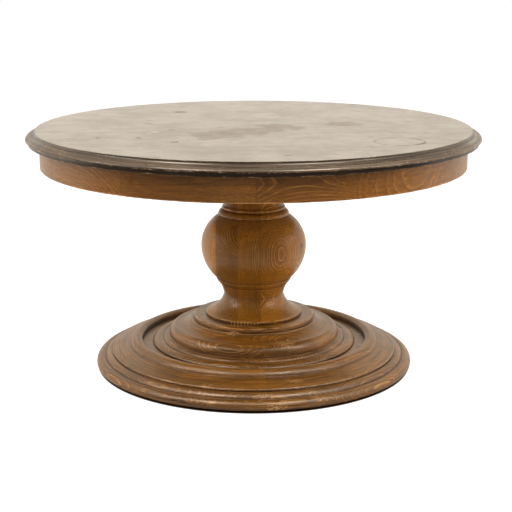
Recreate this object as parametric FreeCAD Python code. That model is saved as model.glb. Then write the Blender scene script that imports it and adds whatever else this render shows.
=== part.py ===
import FreeCAD
import Part
import math
import os

# Round pedestal cocktail table, millimetres, +Z up, standing on Z = 0 with its axis on Z.
# The front of the table looks along -Y, and angles round the table run from there towards +X.

# Whole table
table_height = 493.0
glue_gap = 0.15
cut_overrun = 5.0
front_angle = -90.0

# Tabletop: edge-glued boards with a moulded edge
top_radius = 457.0
top_thickness = 25.0
top_board_count = 5
top_flat_setback = 18.5
top_fillet_height = 1.8
top_cove_width = 9.0
top_cove_height = 6.6
top_cove_bulge_share = -0.2
top_step_height = 1.2
top_nose_height = 1.4
top_ovolo_bulge_share = 0.2
top_undercut_depth = 5.0
top_fascia_height = 7.8

# Apron: one ring of curved segments under the top
apron_setback = 26.7
apron_height = 50.0
apron_thickness = 24.0
apron_arris = 1.6
apron_joint_angles = (0.7, 25.0, 55.0, 86.0, 117.0, 147.0, 178.0, 208.0, 239.0, 269.0, 298.0, 327.0)

# Glue blocks between apron and top
block_thickness = 22.0
block_length = 48.0
block_height = 32.0

# Half-lapped bearers and the plate that carries the column
bearer_width = 70.0
bearer_depth = 28.0
bearer_end_gap = 0.5
plate_radius = 125.0
plate_thickness = 24.0
plate_arris = 4.0

# Column, turned from boards glued side by side, with cheeks where it swells
ball_radius = 108.2
left_cheek_plane_share = -0.707
left_glue_plane_share = -0.3
right_glue_plane_share = 0.134
right_cheek_plane_share = 0.578
foot_setback = 9.0
foot_lip_arris = 1.4
foot_flare_bulge_share = -0.14
lower_neck_radius = 61.8
lower_neck_bulge_share = -0.05
lower_ledge_radius = 69.0
lower_band_radius = 78.2
lower_band_bulge_share = 0.09
lower_quirk_depth = 1.8
bead_quirk_depth = 1.6
large_bead_radius = 73.0
large_bead_width = 7.0
large_bead_bulge_share = 0.2
small_bead_radius = 62.0
small_bead_bulge_share = 0.42
upper_neck_radius = 56.0
upper_neck_bulge_share = -0.06
shank_radius = 62.0
shank_flare_bulge_share = -0.05

# Stretches of the column, as shares of its height
foot_lip_share = 0.0223
foot_flare_share = 0.1178
lower_neck_share = 0.0669
lower_band_share = 0.0414
ball_lower_share = 0.2197
ball_upper_share = 0.2038
large_bead_share = 0.0334
small_bead_share = 0.0255
upper_neck_share = 0.0828
shank_flare_share = 0.0955

# Dome: two turned discs under the column
dome_plate_radius = 124.0
dome_plate_height = 9.0
dome_plate_arris = 1.8
dome_fillet_width = 7.0
dome_fillet_height = 2.4
dome_cove_width = 33.0
dome_cove_height = 10.0
dome_cove_bulge_share = -0.1
dome_nose_height = 21.1
dome_nose_bulge_share = 0.16
dome_nose_step = 12.5
dome_slope_width = 3.0
dome_slope_height = 1.5
dome_slope_bulge_share = -0.06
dome_step_height = 0.8
dome_ovolo_width = 10.0
dome_ovolo_height = 5.0
dome_ovolo_bulge_share = 0.2
dome_quirk_depth = 1.6
dome_bead_width = 23.1
dome_bead_height = 4.6
dome_bead_bulge_share = 0.2
dome_foot_height = 2.6

# Base board on the ring's ledge
base_board_thickness = 14.0
groove_width = 21.5

# Base ring: two layers of segments with staggered joints
ring_segment_count = 10
upper_joint_angle = 5.0
lower_joint_angle = -8.0
glide_height = 3.0
ring_lower_thickness = 28.0
ring_ledge_width = 32.5
ring_rim_width = 24.9
ring_rim_step = 1.6
ring_rim_quirk = 1.4
ring_rim_bulge_share = 0.29
ring_inner_height = 22.6
ring_fascia_width = 32.6
ring_fascia_rise = 9.2
ring_fascia_edge = 4.6
ring_fascia_round = 3.4
ring_fascia_bulge_share = 0.2
ring_quirk_depth = 1.2
ring_quirk_setback = 1.0
ring_bead_width = 15.5
ring_bead_bulge_share = 0.18
ring_torus_width = 17.7
ring_torus_height = 17.0
ring_torus_bulge_share = 0.34

# Tie rod with its nuts and washers
rod_radius = 6.0
rod_bore_clearance = 0.8
rod_spare_end = 3.0
thread_clearance = 0.1
nut_flats = 19.0
nut_height = 10.0
nut_pocket_clearance = 1.0
washer_radius = 15.0
washer_thickness = 2.5

# Dowels between column foot and dome
dowel_radius = 6.0
dowel_length = 36.0
dowel_clearance = 0.1
dowel_end_gap = 1.0
dowel_spread = 45.0

# Wood screws
screw_length = 40.0
screw_head_radius = 5.0
screw_head_height = 4.0
screw_shank_radius = 2.5
screw_clearance = 0.15
bearer_screw_inset = 76.0
plate_screw_circle = 95.0

# Glides under the ring
glide_count = 6
glide_radius = 15.0
glide_inset = 42.0

# Radii that follow from the widths
apron_radius = top_radius - apron_setback
apron_inner = apron_radius - apron_thickness
bearer_screw_circle = apron_inner - bearer_screw_inset
left_cheek_plane = left_cheek_plane_share * ball_radius
left_glue_plane = left_glue_plane_share * ball_radius
right_glue_plane = right_glue_plane_share * ball_radius
right_cheek_plane = right_cheek_plane_share * ball_radius
foot_radius = ball_radius - foot_setback
dome_fillet_radius = dome_plate_radius + dome_fillet_width
dome_cove_radius = dome_fillet_radius + dome_cove_width
dome_nose_radius = dome_cove_radius + dome_nose_step
dome_slope_radius = dome_nose_radius + dome_slope_width
dome_ovolo_radius = dome_slope_radius + dome_ovolo_width
dome_bead_radius = dome_ovolo_radius - dome_quirk_depth + dome_bead_width
ring_inner_radius = dome_bead_radius + groove_width
ring_ledge_radius = ring_inner_radius - ring_ledge_width
ring_rim_radius = ring_inner_radius + ring_rim_width
ring_quirk_radius = ring_rim_radius + ring_rim_step
ring_fascia_radius = ring_quirk_radius + ring_fascia_width + ring_fascia_round
ring_bead_radius = ring_fascia_radius - ring_quirk_setback + ring_bead_width
ring_foot_radius = ring_bead_radius + ring_torus_width
glide_circle = ring_foot_radius - glide_inset

# Levels up the table
top_underside = table_height - top_thickness
apron_foot = top_underside - apron_height
bearer_foot = top_underside - bearer_depth
plate_foot = bearer_foot - plate_thickness
ring_joint = glide_height + ring_lower_thickness
board_top = ring_joint + base_board_thickness
dome_bead_level = board_top + dome_foot_height + dome_bead_height
dome_step_level = dome_bead_level + dome_ovolo_height
dome_slope_level = dome_step_level + dome_step_height
dome_joint = dome_slope_level + dome_slope_height
nose_top = dome_joint + dome_nose_height
cove_top = nose_top + dome_cove_height
fillet_top = cove_top + dome_fillet_height
dome_top = fillet_top + dome_plate_height
column_height = plate_foot - dome_top
foot_lip_top = dome_top + foot_lip_share * column_height
lower_neck_level = foot_lip_top + foot_flare_share * column_height
lower_ledge_level = lower_neck_level + lower_neck_share * column_height
band_top = lower_ledge_level + lower_band_share * column_height
ball_waist = band_top + ball_lower_share * column_height
ball_top = ball_waist + ball_upper_share * column_height
large_bead_top = ball_top + large_bead_share * column_height
small_bead_top = large_bead_top + small_bead_share * column_height
upper_neck_level = small_bead_top + upper_neck_share * column_height
shank_foot = upper_neck_level + shank_flare_share * column_height
axis = FreeCAD.Vector(0, 0, 1)
centre = FreeCAD.Vector(0, 0, 0)


def at(radius, height):
    """A point of a turned outline."""
    return FreeCAD.Vector(radius, 0, height)


def arc(start, end, share):
    """A round stretch that stands out to the left of its way by a share of its length."""
    middle = (start + end) * 0.5
    way = end - start
    middle = middle + FreeCAD.Vector(-way.z, 0, way.x) * share
    return Part.Arc(start, middle, end).toShape()


def outline_face(start, steps):
    """A flat face from steps of (end) for a straight stretch or (end, share) for a round one."""
    edges = []
    here = start
    for step in steps:
        if len(step) == 1:
            edges.append(Part.LineSegment(here, step[0]).toShape())
        else:
            edges.append(arc(here, step[0], step[1]))
        here = step[0]
    edges.append(Part.LineSegment(here, start).toShape())
    return Part.Face(Part.Wire(edges))


def upright_share(width, height):
    """Share of an arc that ends upright at its widest point."""
    return math.tan(math.atan2(width, height) / 2) / 2


def turned(face, first=0.0, sweep=360.0):
    """The outline turned round the axis, from one angle for a stretch."""
    placed = face.copy()
    placed.rotate(centre, axis, front_angle + first)
    return placed.revolve(centre, axis, sweep)


def cylinder(radius, low, high, x=0.0, y=0.0):
    return Part.makeCylinder(radius, high - low, FreeCAD.Vector(x, y, low))


def around(circle, angle):
    """Plan position on a circle, at an angle from the front."""
    turn = math.radians(front_angle + angle)
    return circle * math.cos(turn), circle * math.sin(turn)


def save(name, shape):
    shape.exportStep("parts/" + name + ".step")
    print(name, len(shape.Solids), "solid(s)", round(shape.Volume), "mm3")


def slab(shape, low, high, reach, along):
    """The part of a shape between two parallel planes across X or Y."""
    depth = FreeCAD.Vector(2 * reach, 2 * reach, 2 * reach)
    corner = FreeCAD.Vector(-reach, -reach, -reach)
    setattr(depth, along, high - low)
    setattr(corner, along, low)
    return shape.common(Part.makeBox(depth.x, depth.y, depth.z, corner))


def screw():
    """A wood screw, head down on Z = 0, pointing up."""
    head = cylinder(screw_head_radius, 0, screw_head_height)
    return head.fuse(cylinder(screw_shank_radius, 0, screw_length)).removeSplitter()


def screw_hole():
    """The room that a screw takes, open below its head."""
    head = cylinder(screw_head_radius + screw_clearance, -cut_overrun, screw_head_height + screw_clearance)
    shank = cylinder(screw_shank_radius + screw_clearance, 0, screw_length + screw_clearance)
    return head.fuse(shank)


def placed_copies(shape, places, height):
    """Copies of a shape at plan positions on one level."""
    copies = []
    for x, y in places:
        copy = shape.copy()
        copy.translate(FreeCAD.Vector(x, y, height))
        copies.append(copy)
    return copies


def bearer_screw_places():
    """Two screws near the ends of each bearer."""
    return [around(bearer_screw_circle, quarter * 90.0) for quarter in range(4)]


def plate_screw_places():
    """One screw from the plate into each arm of the bearers."""
    return [around(plate_screw_circle, quarter * 90.0) for quarter in range(4)]


def dowel_places():
    """One dowel in each outer board and two in the middle one, clear of the rod."""
    left = (left_cheek_plane + left_glue_plane) / 2
    middle = (left_glue_plane + right_glue_plane) / 2
    right = (right_glue_plane + right_cheek_plane) / 2
    return [(left, 0.0), (middle, dowel_spread), (middle, -dowel_spread), (right, 0.0)]


def tabletop():
    """The moulded disc: flat, fillet, cove, step, ovolo, nose, undercut and fascia."""
    flat = top_radius - top_flat_setback
    cove_end = flat + top_cove_width
    fillet_foot = table_height - top_fillet_height
    cove_foot = fillet_foot - top_cove_height
    step_foot = cove_foot - top_step_height
    nose_foot = top_underside + top_fascia_height
    fascia = top_radius - top_undercut_depth
    steps = [
        (at(flat, table_height),),
        (at(flat, fillet_foot),),
        (at(cove_end, cove_foot), top_cove_bulge_share),
        (at(cove_end, step_foot),),
        (at(top_radius, nose_foot + top_nose_height), top_ovolo_bulge_share),
        (at(top_radius, nose_foot),),
        (at(fascia, nose_foot),),
        (at(fascia, top_underside),),
        (at(0, top_underside),),
    ]
    disc = turned(outline_face(at(0, table_height), steps))
    holes = placed_copies(screw_hole(), bearer_screw_places(), bearer_foot)
    return disc.cut(holes)


def tabletop_boards():
    """The disc parted along X into boards of equal width."""
    disc = tabletop()
    width = 2 * top_radius / top_board_count
    reach = table_height + top_radius
    for number in range(top_board_count):
        low = number * width - top_radius
        save("top_board_%d" % (number + 1), slab(disc, low, low + width, reach, "y"))


def apron_segments():
    """Curved segments butted end to end at the joint angles."""
    steps = [
        (at(apron_radius, top_underside),),
        (at(apron_radius, apron_foot + apron_arris),),
        (at(apron_radius - apron_arris, apron_foot),),
        (at(apron_inner, apron_foot),),
    ]
    face = outline_face(at(apron_inner, top_underside), steps)
    for number, first in enumerate(apron_joint_angles):
        after = apron_joint_angles[(number + 1) % len(apron_joint_angles)]
        save("apron_segment_%02d" % (number + 1), turned(face, first, (after - first) % 360.0))


def apron_blocks():
    """Glue blocks inside the apron, one behind the middle of each segment."""
    back = apron_inner - glue_gap
    half = block_length / 2
    side = math.sqrt(back * back - half * half)
    inner = side - block_thickness
    foot = top_underside - block_height
    ends = [FreeCAD.Vector(side, -half, foot), FreeCAD.Vector(side, half, foot)]
    arc = Part.Arc(ends[0], FreeCAD.Vector(back, 0, foot), ends[1]).toShape()
    corners = [ends[1], FreeCAD.Vector(inner, half, foot), FreeCAD.Vector(inner, -half, foot), ends[0]]
    face = Part.Face(Part.Wire([arc] + Part.makePolygon(corners).Edges))
    block = face.extrude(axis * block_height)
    blocks = []
    for number, first in enumerate(apron_joint_angles):
        after = apron_joint_angles[(number + 1) % len(apron_joint_angles)]
        copy = block.copy()
        copy.rotate(centre, axis, front_angle + first + ((after - first) % 360.0) / 2)
        blocks.append(copy)
    save("apron_blocks", Part.makeCompound(blocks))


def bearers():
    """Two crossing bars under the top, halved into each other."""
    half = math.sqrt(apron_inner ** 2 - (bearer_width / 2) ** 2) - bearer_end_gap
    side = bearer_width / 2
    corner = FreeCAD.Vector(-half, -side, bearer_foot)
    bar = Part.makeBox(2 * half, bearer_width, bearer_depth, corner)
    lap = FreeCAD.Vector(-side, -side, bearer_foot)
    low_half = Part.makeBox(bearer_width, bearer_width, bearer_depth / 2, lap)
    high_half = low_half.translated(axis * (bearer_depth / 2))
    holes = placed_copies(screw_hole(), bearer_screw_places(), bearer_foot)
    holes += placed_copies(screw_hole(), plate_screw_places(), plate_foot)
    save("bearer_side_to_side", bar.cut([high_half] + holes))
    cross = bar.copy()
    cross.rotate(centre, axis, 90.0)
    save("bearer_front_to_back", cross.cut([low_half] + holes))


def column_plate():
    """The round plate on top of the column, with a pocket for the rod's nut."""
    steps = [
        (at(plate_radius, bearer_foot),),
        (at(plate_radius, plate_foot + plate_arris),),
        (at(plate_radius - plate_arris, plate_foot),),
        (at(0, plate_foot),),
    ]
    disc = turned(outline_face(at(0, bearer_foot), steps))
    pocket_radius = washer_radius + nut_pocket_clearance
    pocket = cylinder(pocket_radius, upper_seat(), bearer_foot + cut_overrun)
    bore = cylinder(rod_radius + rod_bore_clearance, plate_foot - cut_overrun, bearer_foot)
    holes = placed_copies(screw_hole(), plate_screw_places(), plate_foot)
    save("column_plate", disc.cut([pocket, bore] + holes))


def upper_seat():
    """Level on which the upper washer sits, so that the rod ends below the bearers."""
    return bearer_foot - nut_pocket_clearance - rod_spare_end - nut_height - washer_thickness


def head_steps():
    """Shank, upper neck and the two beads over the ball."""
    return [
        (at(shank_radius, plate_foot),),
        (at(shank_radius, shank_foot),),
        (at(upper_neck_radius, upper_neck_level), shank_flare_bulge_share),
        (at(small_bead_radius, small_bead_top), upper_neck_bulge_share),
        (at(small_bead_radius, large_bead_top), small_bead_bulge_share),
        (at(large_bead_radius - large_bead_width, large_bead_top),),
        (at(large_bead_radius, ball_top), large_bead_bulge_share),
    ]


def ball_steps():
    """The ball, from its upper quirk to its lower one, upright at its waist."""
    high_end = large_bead_radius - bead_quirk_depth
    low_end = lower_band_radius - lower_quirk_depth
    return [
        (at(high_end, ball_top),),
        (at(ball_radius, ball_waist), upright_share(ball_radius - high_end, ball_top - ball_waist)),
        (at(low_end, band_top), upright_share(ball_radius - low_end, ball_waist - band_top)),
    ]


def foot_steps():
    """The two ledges below the ball, the lower neck, the flare and the foot's lip."""
    return [
        (at(lower_band_radius, band_top),),
        (at(lower_ledge_radius - lower_quirk_depth, lower_ledge_level), lower_band_bulge_share),
        (at(lower_ledge_radius, lower_ledge_level),),
        (at(lower_neck_radius, lower_neck_level), lower_neck_bulge_share),
        (at(foot_radius - foot_lip_arris, foot_lip_top), foot_flare_bulge_share),
        (at(foot_radius, foot_lip_top - foot_lip_arris),),
        (at(foot_radius, dome_top),),
        (at(0, dome_top),),
    ]


def column():
    """The whole turned column, bored for the rod and the dowels."""
    steps = head_steps() + ball_steps() + foot_steps()
    body = turned(outline_face(at(0, plate_foot), steps))
    bore = cylinder(rod_radius + rod_bore_clearance, dome_top - cut_overrun, plate_foot + cut_overrun)
    return body.cut([bore] + dowel_holes())


def cheek_block(plane, low, high):
    """The block glued on outside a plane, between two levels, before turning."""
    outer = math.copysign(2 * ball_radius, plane)
    corner = FreeCAD.Vector(min(plane, outer), -2 * ball_radius, low)
    return Part.makeBox(abs(outer - plane), 4 * ball_radius, high - low, corner)


def column_boards():
    """The column parted at its glue planes, with the cheeks that widen its foot and ball."""
    body = column()
    for side, plane in (("left", left_cheek_plane), ("right", right_cheek_plane)):
        foot = cheek_block(plane, dome_top, lower_neck_level)
        ball = cheek_block(plane, band_top, ball_top)
        save("foot_cheek_" + side, body.common(foot))
        save("ball_cheek_" + side, body.common(ball))
        body = body.cut([foot, ball])
    reach = table_height + ball_radius
    edges = (-reach, left_glue_plane, right_glue_plane, reach)
    for name, low, high in zip(("left", "middle", "right"), edges, edges[1:]):
        save("column_board_" + name, slab(body, low, high, reach, "x"))


def dowel_holes():
    reach = dowel_length / 2 + dowel_end_gap
    low = dome_top - reach
    high = dome_top + reach
    return [cylinder(dowel_radius + dowel_clearance, low, high, x, y) for x, y in dowel_places()]


def foot_dowels():
    low = dome_top - dowel_length / 2
    high = dome_top + dowel_length / 2
    dowels = [cylinder(dowel_radius, low, high, x, y) for x, y in dowel_places()]
    save("foot_dowels", Part.makeCompound(dowels))


def dome_upper():
    """Top disc of the dome: plate, fillet, cove and nose."""
    steps = [
        (at(dome_plate_radius - dome_plate_arris, dome_top),),
        (at(dome_plate_radius, dome_top - dome_plate_arris),),
        (at(dome_plate_radius, fillet_top),),
        (at(dome_fillet_radius, fillet_top),),
        (at(dome_fillet_radius, cove_top),),
        (at(dome_cove_radius, nose_top), dome_cove_bulge_share),
        (at(dome_nose_radius, dome_joint), dome_nose_bulge_share),
        (at(0, dome_joint),),
    ]
    disc = turned(outline_face(at(0, dome_top), steps))
    bore = cylinder(rod_radius + rod_bore_clearance, dome_joint - cut_overrun, dome_top + cut_overrun)
    save("dome_upper", disc.cut([bore] + dowel_holes()))


def dome_lower():
    """Bottom disc of the dome: slope, step, ovolo and bead."""
    steps = [
        (at(dome_nose_radius, dome_joint),),
        (at(dome_slope_radius, dome_slope_level), dome_slope_bulge_share),
        (at(dome_slope_radius, dome_step_level),),
        (at(dome_ovolo_radius, dome_bead_level), dome_ovolo_bulge_share),
        (at(dome_ovolo_radius - dome_quirk_depth, dome_bead_level),),
        (at(dome_bead_radius, board_top + dome_foot_height), dome_bead_bulge_share),
        (at(dome_bead_radius, board_top),),
        (at(0, board_top),),
    ]
    disc = turned(outline_face(at(0, dome_joint), steps))
    bore = cylinder(rod_radius + rod_bore_clearance, board_top - cut_overrun, dome_joint + cut_overrun)
    save("dome_lower", disc.cut(bore))


def base_board():
    """The flat board inside the ring, seen as the floor of the groove."""
    disc = cylinder(ring_inner_radius - glue_gap, ring_joint, board_top)
    bore = cylinder(rod_radius + rod_bore_clearance, ring_joint - cut_overrun, board_top + cut_overrun)
    save("base_board", disc.cut(bore))


def ring_upper_face():
    """Section of the upper layer: inner wall, rim, quirk, sloping fascia and its nose."""
    fascia_foot = ring_joint + ring_fascia_edge
    fascia_top = fascia_foot + ring_fascia_rise
    rim_foot = fascia_top + ring_rim_quirk
    steps = [
        (at(ring_inner_radius, ring_joint + ring_inner_height),),
        (at(ring_rim_radius, rim_foot), ring_rim_bulge_share),
        (at(ring_quirk_radius, rim_foot),),
        (at(ring_quirk_radius, fascia_top),),
        (at(ring_quirk_radius + ring_fascia_width, fascia_foot),),
        (at(ring_fascia_radius, ring_joint + ring_quirk_depth), ring_fascia_bulge_share),
        (at(ring_fascia_radius, ring_joint),),
    ]
    return outline_face(at(ring_inner_radius, ring_joint), steps)


def ring_lower_face():
    """Section of the lower layer: quirk, bead and the torus near the floor."""
    bead_in = ring_fascia_radius - ring_quirk_setback
    steps = [
        (at(bead_in, ring_joint),),
        (at(bead_in, ring_joint - ring_quirk_depth),),
        (at(ring_bead_radius, glide_height + ring_torus_height), ring_bead_bulge_share),
        (at(ring_foot_radius, glide_height), ring_torus_bulge_share),
        (at(ring_ledge_radius, glide_height),),
    ]
    return outline_face(at(ring_ledge_radius, ring_joint), steps)


def ring_segments():
    """Both layers, each parted into equal segments from its own first joint."""
    sweep = 360.0 / ring_segment_count
    upper = ring_upper_face()
    lower = ring_lower_face()
    for number in range(ring_segment_count):
        turn = number * sweep
        save("ring_upper_segment_%02d" % (number + 1), turned(upper, upper_joint_angle + turn, sweep))
        save("ring_lower_segment_%02d" % (number + 1), turned(lower, lower_joint_angle + turn, sweep))


def rod_and_nuts():
    """The rod with a nut and washer under the base board and another pair in the plate."""
    lower_seat = ring_joint - washer_thickness
    low_end = lower_seat - nut_height - rod_spare_end
    upper_nut = upper_seat() + washer_thickness
    high_end = upper_nut + nut_height + rod_spare_end
    save("tie_rod", cylinder(rod_radius, low_end, high_end))
    bore = cylinder(rod_radius + thread_clearance, low_end, high_end)
    corner_radius = nut_flats / math.sqrt(3.0)
    corners = [FreeCAD.Vector(*around(corner_radius, side * 60.0), 0) for side in range(7)]
    nut = Part.Face(Part.makePolygon(corners)).extrude(axis * nut_height)
    nuts = [nut.translated(axis * level).cut(bore) for level in (lower_seat - nut_height, upper_nut)]
    save("tie_nuts", Part.makeCompound(nuts))
    levels = (lower_seat, upper_seat())
    washers = [cylinder(washer_radius, level, level + washer_thickness).cut(bore) for level in levels]
    save("tie_washers", Part.makeCompound(washers))


def screws():
    body = screw()
    save("bearer_screws", Part.makeCompound(placed_copies(body, bearer_screw_places(), bearer_foot)))
    save("plate_screws", Part.makeCompound(placed_copies(body, plate_screw_places(), plate_foot)))


def glides():
    """Discs under the ring that lift it off the floor."""
    disc = cylinder(glide_radius, 0, glide_height)
    places = [around(glide_circle, number * 360.0 / glide_count) for number in range(glide_count)]
    save("glides", Part.makeCompound(placed_copies(disc, places, 0)))


os.makedirs("parts", exist_ok=True)
tabletop_boards()
apron_segments()
apron_blocks()
bearers()
column_plate()
column_boards()
foot_dowels()
dome_upper()
dome_lower()
base_board()
ring_segments()
rod_and_nuts()
screws()
glides()
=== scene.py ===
# %% [markdown]
# # A round cocktail table on a turned pedestal
#
# The real table is joiner's and turner's work: a top of five glued boards with a moulded edge, a hoop
# of bricked apron segments under it, a fat turned column, a stepped dome and a ring-shaped foot.
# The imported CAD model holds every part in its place, so this lesson only dresses it: each visible
# wooden part gets a finer skin of the same shape, with grain that runs as its own board does.

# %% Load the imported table
import math

import bpy
import numpy as np
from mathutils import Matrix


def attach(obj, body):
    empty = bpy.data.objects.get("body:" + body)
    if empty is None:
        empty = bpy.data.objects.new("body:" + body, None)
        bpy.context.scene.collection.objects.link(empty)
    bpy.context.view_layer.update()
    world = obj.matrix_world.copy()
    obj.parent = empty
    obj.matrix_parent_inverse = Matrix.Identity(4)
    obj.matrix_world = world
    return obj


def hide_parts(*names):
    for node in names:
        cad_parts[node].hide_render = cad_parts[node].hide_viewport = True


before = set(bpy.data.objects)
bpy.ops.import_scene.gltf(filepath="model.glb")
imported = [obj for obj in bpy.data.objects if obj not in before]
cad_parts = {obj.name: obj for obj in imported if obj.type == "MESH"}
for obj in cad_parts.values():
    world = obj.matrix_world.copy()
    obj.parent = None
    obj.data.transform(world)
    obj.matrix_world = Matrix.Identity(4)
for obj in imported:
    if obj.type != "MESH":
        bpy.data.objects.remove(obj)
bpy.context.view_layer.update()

# %% [markdown]
# ## The turner's outline
#
# A turner cuts against a drawn outline: straight runs, hollows and beads, each given by where it ends.
# An arc is told by its rise: the middle of it stands a share of the chord to the left of travel, so a
# positive share is a bead and a negative one a hollow. The line is drawn finely first, and thinned later.

# %% Draw an outline
MM = 0.001               # outlines are in millimetres, as on a shop drawing, and the scene is in metres
FINE = 0.25              # spacing of the drawn line


def bowed(a, b, share):
    """Points from a to b. With share 0 they lie on the chord. Otherwise they lie on the circle through
    a and b whose middle is share x chord to the left: half its angle is 2 atan(2 share)."""
    chord = b - a
    length = np.hypot(*chord)
    t = np.linspace(0, 1, max(2, int(length / FINE) + 1))[:, None]
    if share == 0:
        return a + chord * t
    half = 2 * math.atan(2 * share)
    radius = length / (2 * math.sin(half))
    angle = (2 * t - 1) * half
    left = np.array([-chord[1], chord[0]]) / length
    rise = radius * (np.cos(angle) - math.cos(half))
    return (a + b) / 2 + chord / length * radius * np.sin(angle) + left * rise


def drawn_line(start, *steps):
    """A whole outline: the runs are joined, and then walked in equal steps of FINE."""
    ends = [np.array(point[:2], float) for point in (start,) + steps]
    shares = [step[2] if len(step) > 2 else 0.0 for step in steps]
    runs = [bowed(a, b, share)[1:] for a, b, share in zip(ends[:-1], ends[1:], shares)]
    line = np.vstack([ends[0][None]] + runs)
    walked = np.r_[0, np.cumsum(np.hypot(*np.diff(line, axis=0).T))]
    marks = np.linspace(0, walked[-1], int(walked[-1] / FINE) + 1)
    return np.stack([np.interp(marks, walked, line[:, k]) for k in (0, 1)], axis=1)


def upright(width, height):
    """The share of an arc that ends upright: a quarter of its angle is half the chord's slant."""
    return math.tan(math.atan2(width, height) / 2) / 2


# %% [markdown]
# ## Worn arrises, and creases darkened by dirt and painted shade
#
# Hands and dusters round every sharp edge and rub the stain off it, and wax and dirt gather in the hollows;
# the hollows are also darkened as painted shade.
# Both follow the bend of the outline, so they are worked out from it: the line is softened by a bell-shaped
# mean, and its turn per millimetre tells where it is an arris and where a crease. The same numbers decide
# where the finished profile needs its points, so a flat gets few of them and a bead gets many.

# %% Soften and thin an outline
ROUNDING = 0.45          # how far the edges are worn round
RUB_WIDTH = 1.3          # how wide a rubbed edge, or a crease darkened with dirt and painted shade, reads
SHARP = 0.38             # turn per mm, in radians, that counts as a full edge
FLAT_STEP = 7.0          # one point for so many mm of flat,
BEND_STEP = math.radians(9)              # for so much bend,
MARK_STEP = 0.2                          # or for so much change of wear


def softened(line, width, closed):
    """Each point becomes the mean of its neighbours, weighted by a bell of that width.
    A closed line wraps round, and an open one is continued beyond its ends by turning it over."""
    reach = int(4 * width / FINE)
    bell = np.exp(-0.5 * (np.arange(-reach, reach + 1) * FINE / width) ** 2)
    before, after = line[-reach:], line[:reach]
    if not closed:
        before, after = 2 * line[0] - line[reach:0:-1], 2 * line[-1] - line[-2:-reach - 2:-1]
    whole = np.vstack([before, line, after])
    return np.stack([np.convolve(whole[:, k], bell / bell.sum(), "valid") for k in (0, 1)], axis=1)


def turning(line):
    """How far the line's heading turns from point to point, to the left positive, which is a hollow."""
    step = np.gradient(line, axis=0)
    return np.gradient(np.unwrap(np.arctan2(step[:, 1], step[:, 0])))


def turned_profile(line, closed=False, meets=(), rub_width=RUB_WIDTH):
    """The thinned profile as columns: radius, height, outward normal (2), arris and crease.
    Points are dealt out along the line in equal shares of flat length, bend and change of wear. Where the
    part meets another one, at (radius, height, reach), dirt and painted shade gather too: a bell over the distance."""
    line = line[:-1] if closed else line
    soft, wide = softened(line, ROUNDING, closed), softened(line, rub_width, closed)
    turn = turning(wide) / FINE
    arris, crease = np.clip(-turn / SHARP, 0, 1), np.clip(turn / SHARP, 0, 1)
    # where parts meet, the crease mark is raised: dirt and painted shade
    for radius, height, reach in meets:
        away = np.hypot(soft[:, 0] - radius, soft[:, 1] - height)
        arris, crease = arris * (away > 0.6 * reach), np.maximum(crease, np.exp(-(away / reach) ** 2))
    change = np.abs(np.gradient(arris)) + np.abs(np.gradient(crease))
    cost = FINE / FLAT_STEP + np.abs(turning(soft)) / BEND_STEP + change / MARK_STEP
    step = np.gradient(soft, axis=0)
    normal = np.stack([-step[:, 1], step[:, 0]], axis=1) / np.hypot(*step.T)[:, None]
    columns = np.column_stack([soft, normal, arris, crease])
    if closed:
        columns, cost = np.vstack([columns, columns[:1]]), np.r_[cost, cost[:1]]
    spent = np.r_[0, np.cumsum((cost[1:] + cost[:-1]) / 2)]
    picks = np.linspace(0, spent[-1], int(spent[-1]) + 2, endpoint=not closed)
    return np.stack([np.interp(picks, spent, column) for column in columns.T], axis=1)


# %% [markdown]
# ## Knocks in the wood
#
# An old-looking finish is knocked about before it is stained: the arrises are nicked, and the faces are not
# quite true. A block of seeded random numbers, read smoothly between its cells, gives the same knocks at
# every run. They only ever go inwards, so no part grows past its drawn size.

# %% Nicks and waves
CELLS = 48
KNOCKS = np.random.default_rng(11).random((CELLS, CELLS, CELLS))
NICK_SIZE, WAVE_SIZE = 6.5, 31.0         # mm from nick to nick along an arris, and from wave to wave on a face
NICK_LEVEL = 0.62                        # an arris is nicked where the random value is above this


def rough(places, size):
    """A smooth random value from 0 to 1 at each place: the eight nearest cells of the block, blended by an
    S-curve of how far the place is between them. Cells are size mm across."""
    cell = np.floor(places / size).astype(int)
    part = places / size - cell
    part = part * part * (3 - 2 * part)
    total = 0
    for corner in np.ndindex(2, 2, 2):
        weight = np.prod(np.where(corner, part, 1 - part), axis=-1)
        total = total + weight * KNOCKS[tuple(np.moveaxis((cell + corner) % CELLS, -1, 0))]
    return total


def knocked(places, outward, arris, nick=0.9, wave=0.22):
    """Places moved inwards by a slow wave everywhere, and by short nicks along the arrises."""
    bite = np.clip(rough(places, NICK_SIZE) - NICK_LEVEL, 0, 1) / (1 - NICK_LEVEL)
    depth = wave * rough(places, WAVE_SIZE) + nick * arris * bite
    return places - outward * depth[..., None]


# %% [markdown]
# ## A skin over a grid
#
# Every part is a grid of places: rows along it, and a loop of points around it. Faces join the neighbours,
# and each end is closed by one flat face or by a fan to a pole. The sum of the small pyramids from the
# origin to each face is the volume, and if that comes out negative the faces look inwards and are turned.
# Along with its shape, each point carries marks for the finish to read: where it lies in its own board's
# trunk, how worn it is, how near a glue joint, and how pale its board is.

# %% Make a mesh from a grid
SHARP_FOLD = math.radians(48)            # faces that meet at more than this are not shaded as one
made = {}


def carried(r, h, across, away):
    """Radii and heights carried round the axis: x = r across, y = r away, where across and away are the sine and
    cosine of the azimuth, in the order and with the signs that the part needs. Normals are carried alike."""
    return np.stack([r * across, r * away, h + 0 * across], axis=-1)


def volume(places, faces):
    """A sixth of the sum of a . (b x c) over the triangles a, b, c of the faces."""
    a, b, c = (places[faces[:, k]] for k in range(3))
    return np.einsum("ij,ij->i", a, np.cross(b, c)).sum() / 6


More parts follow.
